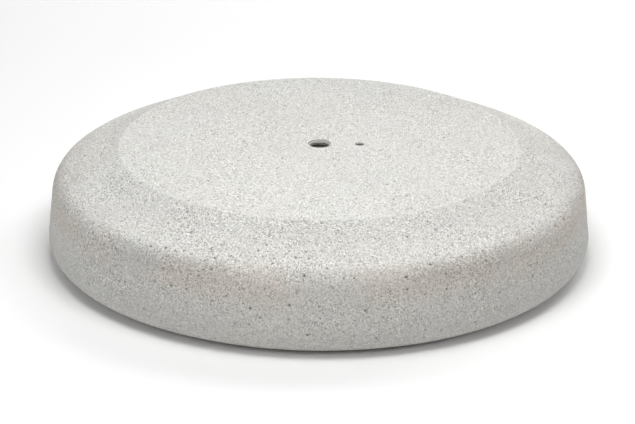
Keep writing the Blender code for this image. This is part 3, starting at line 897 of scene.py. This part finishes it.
def concrete():
    """Pale cement full of dark sand, with coarser dark and light grains, soiling and painted shade in its
    holes, and painted light and shade on its outside.
    """
    finish = Finish("concrete_sandy", 0.92)
    finish.shader.inputs["Specular IOR Level"].default_value = 0.25
    zones = Zones(finish)
    contrast = concrete_contrast(finish, zones)
    sand = finish.noise(0.00095, 1.5, 0.75, seed=3.0)
    fine = finish.noise(0.00055, 0.0, 0.5, seed=4.0)
    grain = finish.math("SUBTRACT", finish.math("ADD", sand, fine), 1.0)
    level = finish.plus(concrete_level(finish, zones), finish.times(grain, 1.15), contrast)
    colour = finish.scaled(concrete_tone(finish, zones), level)
    sandy = finish.specks(0.0021, 0.62, 0.46, seed=5.0)
    coarse = finish.specks(0.0070, 0.30, 0.19, seed=6.0)
    light = finish.specks(0.0034, 0.16, 0.34, seed=7.0)
    colour = finish.blend(finish.times(light, finish.times(contrast, 0.45)), colour, LIGHT_GRAIN)
    colour = finish.blend(finish.times(sandy, finish.times(contrast, 0.85)), colour, DARK_SAND)
    colour = finish.blend(finish.times(coarse, finish.times(contrast, 0.75)), colour, DARK_GRAIN)
    # Soiling and painted shade where the vertices carry it, and paler cement where it is below 0
    dirt_and_shade = finish.painted("dirt_and_shade")
    colour = finish.blend(finish.times(dirt_and_shade, 0.8), colour, GRIME_AND_SHADE)
    finish.colour(finish.blend(finish.times(dirt_and_shade, -1.0), colour, LIGHTENED_CEMENT))
    relief = finish.plus(finish.plus(sand, fine, 0.5), sandy, -0.5)
    finish.bump(finish.plus(relief, coarse, -1.0), 0.00035, 0.9)
    return finish.material


def zinc_plate():
    """Dull plating, with a fine crystal pattern and a yellowish film."""
    finish = Finish("zinc_plate", 0.42, 1.0)
    crystals = finish.noise(0.004, 2.0, seed=1.0)
    film = finish.noise(0.02, 3.0, 0.6, seed=2.0)
    level = finish.plus(0.85, crystals, 0.25)
    colour = finish.blend(finish.span(film, 0.45, 0.7), (0.60, 0.61, 0.62), (0.50, 0.49, 0.46))
    finish.colour(finish.scaled(colour, level))
    finish.tree.links.new(finish.span(film, 0.3, 0.7, 0.34, 0.55), finish.shader.inputs["Roughness"])
    finish.bump(finish.noise(0.0012, 2.0, seed=3.0), 0.00006, 0.5)
    return finish.material


def weathered_and_shaded_steel():
    """The socket: dulled zinc, with cement dust on the upper turns, and damp thread below them that is rusted
    and darkened with painted shade.
    """
    finish = Finish("steel_weathered_and_shaded", 0.62, 0.55)
    depth = finish.span(finish.along("Z"), PLATEAU_Z - 0.0028, PLATEAU_Z - 0.0034)
    patches = finish.noise(0.003, 3.0, 0.65, seed=1.0)
    clean = finish.blend(finish.span(patches, 0.4, 0.65), (0.50, 0.48, 0.45), (0.38, 0.36, 0.33))
    rust_and_shade = finish.blend(finish.span(patches, 0.35, 0.6), (0.13, 0.124, 0.115), (0.16, 0.138, 0.115))
    finish.colour(finish.blend(depth, clean, rust_and_shade))
    finish.bump(finish.noise(0.0007, 3.0, 0.7, seed=2.0), 0.0001, 0.7)
    return finish.material


def rusty_bar():
    """Dark mill scale that has rusted in places."""
    finish = Finish("rebar_rusty", 0.75, 0.6)
    rusted = finish.span(finish.noise(0.006, 4.0, 0.65, seed=1.0), 0.42, 0.62)
    finish.colour(finish.blend(rusted, (0.13, 0.115, 0.105), (0.30, 0.15, 0.075)))
    finish.bump(finish.noise(0.0012, 3.0, 0.7, seed=2.0), 0.0002, 0.8)
    return finish.material


def moulded_rubber():
    """Matt black rubber with a little dust."""
    finish = Finish("rubber_moulded", 0.78)
    dust = finish.span(finish.noise(0.006, 4.0, 0.6, seed=1.0), 0.45, 0.75)
    finish.colour(finish.blend(dust, (0.022, 0.022, 0.023), (0.075, 0.073, 0.069)))
    finish.bump(finish.noise(0.0006, 2.0, seed=2.0), 0.00008, 0.7)
    return finish.material


def moulded_nylon():
    """Grey nylon, slightly cloudy."""
    finish = Finish("nylon_moulded", 0.48)
    cloud = finish.noise(0.005, 2.0, seed=1.0)
    finish.colour(finish.blend(cloud, (0.30, 0.31, 0.315), (0.38, 0.385, 0.39)))
    finish.bump(finish.noise(0.0008, 2.0, seed=2.0), 0.00005, 0.5)
    return finish.material


def darkened_nylon():
    """The locating cup's nylon, painted much darker below its rim."""
    finish = Finish("nylon_darkened", 0.6)
    depth = finish.span(finish.along("Z"), PLATEAU_Z - 0.0034, PLATEAU_Z - 0.0060)
    film = finish.noise(0.003, 3.0, 0.6, seed=1.0)
    rim = finish.blend(film, (0.20, 0.20, 0.20), (0.34, 0.34, 0.34))
    finish.colour(finish.blend(depth, rim, (0.035, 0.033, 0.030)))
    finish.bump(finish.noise(0.0008, 2.0, seed=2.0), 0.00005, 0.5)
    return finish.material


def pale_floor():
    """An almost white floor."""
    finish = Finish("floor_pale", 0.9)
    cloud = finish.noise(0.5, 2.0, seed=1.0)
    finish.colour(finish.blend(cloud, (0.955, 0.955, 0.955), (0.965, 0.965, 0.965)))
    return finish.material


# The room -------------------------------------------------------------------------------------------------
def make_floor():
    """A round floor at z = 0."""
    bm = bmesh.new()
    bmesh.ops.create_circle(bm, cap_ends=True, segments=96, radius=FLOOR_RADIUS)
    floor = object_of(bm, "floor")
    floor.data.materials.append(pale_floor())


def soft_light(name, azimuth, elevation, distance, size, power):
    """A square lamp that faces the base. Azimuth 0 is the camera's side, and 90 is its right. The distance
    and size are in metres, and the power in watts."""
    data = bpy.data.lights.new(name, "AREA")
    data.shape = "SQUARE"
    data.size = size
    data.energy = power
    lamp = bpy.data.objects.new(name, data)
    a, e = math.radians(azimuth), math.radians(elevation)
    from_base = Vector((math.sin(a) * math.cos(e), -math.cos(a) * math.cos(e), math.sin(e)))
    lamp.location = LAMP_TARGET + from_base * distance
    lamp.rotation_euler = (LAMP_TARGET - lamp.location).to_track_quat("-Z", "Y").to_euler()
    bpy.context.scene.collection.objects.link(lamp)


def make_room():
    """The floor, a very weak white world and the lamps."""
    make_floor()
    world = bpy.data.worlds.new("studio")
    bpy.context.scene.world = world
    world.use_nodes = True
    background = world.node_tree.nodes["Background"]
    background.inputs["Color"].default_value = (1, 1, 1, 1)
    background.inputs["Strength"].default_value = 0.01
    soft_light("lamp_overhead", 0, 70.3, 0.89, 0.5, 5.5)
    soft_light("lamp_back", 180, 40, 2.4, 1.4, 21.5)
    soft_light("lamp_back_right", 135, 40, 2.4, 1.2, 19.5)
    soft_light("lamp_front_right", 45, 30, 2.6, 1.2, 13.6)
    soft_light("lamp_front_left", -45, 30, 2.6, 1.2, 7.2)
    soft_light("lamp_low_left", -70, 15, 2.6, 1.2, 9.2)
    soft_light("lamp_back_left", -135, 40, 2.4, 1.2, 7.0)
    bpy.context.scene.view_settings.view_transform = "Standard"


def make_camera():
    """The camera looks from the front and from above, and is turned a little off its target."""
    data = bpy.data.cameras.new("camera")
    data.sensor_width = 36
    data.lens = CAMERA_LENS
    camera = bpy.data.objects.new("camera", data)
    elevation = math.radians(CAMERA_ELEVATION)
    sight = Vector((0, -math.cos(elevation), math.sin(elevation)))
    camera.location = CAMERA_TARGET + sight * CAMERA_DISTANCE
    facing = Euler((math.pi / 2 - elevation - math.radians(CAMERA_DIP), 0, math.radians(CAMERA_YAW)))
    roll = Matrix.Rotation(math.radians(CAMERA_ROLL), 3, "Z")
    camera.rotation_euler = (facing.to_matrix() @ roll).to_euler()
    bpy.context.scene.collection.objects.link(camera)
    bpy.context.scene.camera = camera


# The whole ------------------------------------------------------------------------------------------------
def stand_for(piece, node, material):
    """Puts a finished piece in the place of a CAD node."""
    piece.data.materials.clear()
    piece.data.materials.append(material)
    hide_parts(node)
    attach(piece, "root")


def main():
    make_camera()
    make_room()
    stand_for(make_casting(), "concrete_body", concrete())
    stand_for(make_socket(), "threaded_socket", weathered_and_shaded_steel())
    stand_for(make_locating_cup(), "locating_sleeve", darkened_nylon())
    nylon, zinc, bar, rubber = moulded_nylon(), zinc_plate(), rusty_bar(), moulded_rubber()
    stand_for(make_plate(), "anchor_plate", zinc)
    stand_for(make_ring_bar(), "rebar_ring", bar)
    for node in STRAIGHT_BARS:
        stand_for(make_straight_bar(node), node, bar)
    for number in FEET:
        stand_for(make_pad(number), f"foot_pad_{number}", rubber)
        stand_for(make_washer(number), f"foot_washer_{number}", zinc)
        stand_for(make_screw(number), f"foot_screw_{number}", zinc)
        stand_for(make_dowel(number), f"foot_dowel_{number}", nylon)


main()
